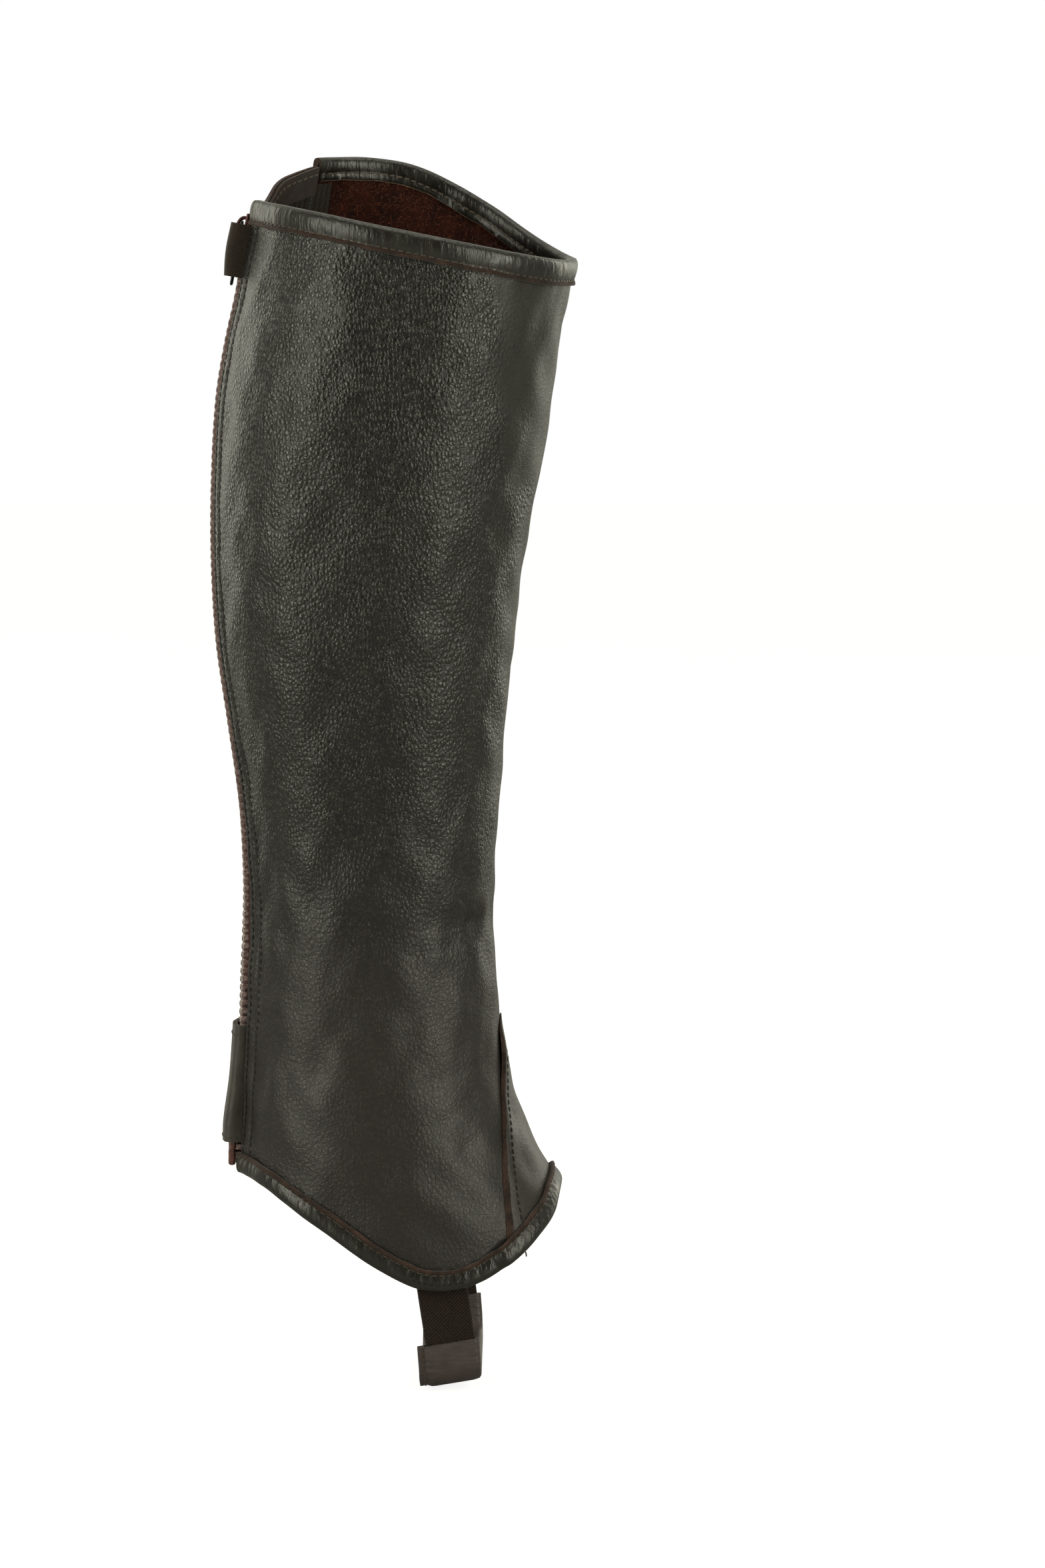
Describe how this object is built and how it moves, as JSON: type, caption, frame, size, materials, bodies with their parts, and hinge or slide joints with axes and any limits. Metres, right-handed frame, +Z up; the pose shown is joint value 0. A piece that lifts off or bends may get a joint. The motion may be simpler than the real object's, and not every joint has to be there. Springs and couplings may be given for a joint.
{
  "type": "half chap",
  "caption": "Leather riding half chap for the left leg, in its worn shape: a calf tube with a back zip, folded bindings and a strap under the boot.",
  "frame": {"origin": "on the leg's axis at the fullest part of the calf, where the wearer's leg holds the chap up", "axes": "+X forward, towards the toes; +Y towards the outer side of the left leg; +Z up, along the shin"},
  "size_m": [0.1457, 0.1181, 0.4888],
  "materials": {
    "leather": "pebbled dark brown grain with a soft oiled sheen, red-brown suede on the inside",
    "binding_leather": "smooth dark brown with a soft sheen and raw mid brown edges",
    "tab_leather": "fine pebbled dark brown, stitched, with raw edges",
    "sleeve_leather": "smooth mauve brown, slightly wrinkled",
    "facing": "thin matt dark brown",
    "elastic": "dark brown twill elastic, matt",
    "strap_elastic": "coarse dark brown twill elastic, matt",
    "zip_tape": "dark red-brown woven tape",
    "zip_teeth": "moulded brown teeth, slightly glossy",
    "zip_box": "glossy red-brown",
    "slider": "dark lacquer, slightly worn",
    "pull": "black lacquered wire",
    "snap": "dark bronze, satin"
  },
  "bodies": {
    "chap": {"main_panel": "leather", "front_gusset": "leather", "side_elastic": "elastic", "elastic_facing": "facing", "top_binding": "binding_leather", "hem_binding": "binding_leather", "zip_tape_inner": "zip_tape", "zip_tape_outer": "zip_tape", "zip_chain": "zip_teeth", "zip_slider": "slider", "zip_box": "zip_box", "top_tab": "elastic", "bottom_tab": "tab_leather", "top_tab_snap": "snap", "bottom_tab_snap": "snap", "understrap": "strap_elastic", "strap_sleeve": "sleeve_leather"},
    "pull": {"zip_pull": "pull"}
  },
  "joints": [
    {"name": "pull_hinge", "type": "hinge", "parent": "chap", "child": "pull", "pos_m": [-0.05558, -0.00315, 0.06988], "axis": [0.0371, -0.9993, -0.0072], "range_deg": [-2.5, 0]}
  ]
}
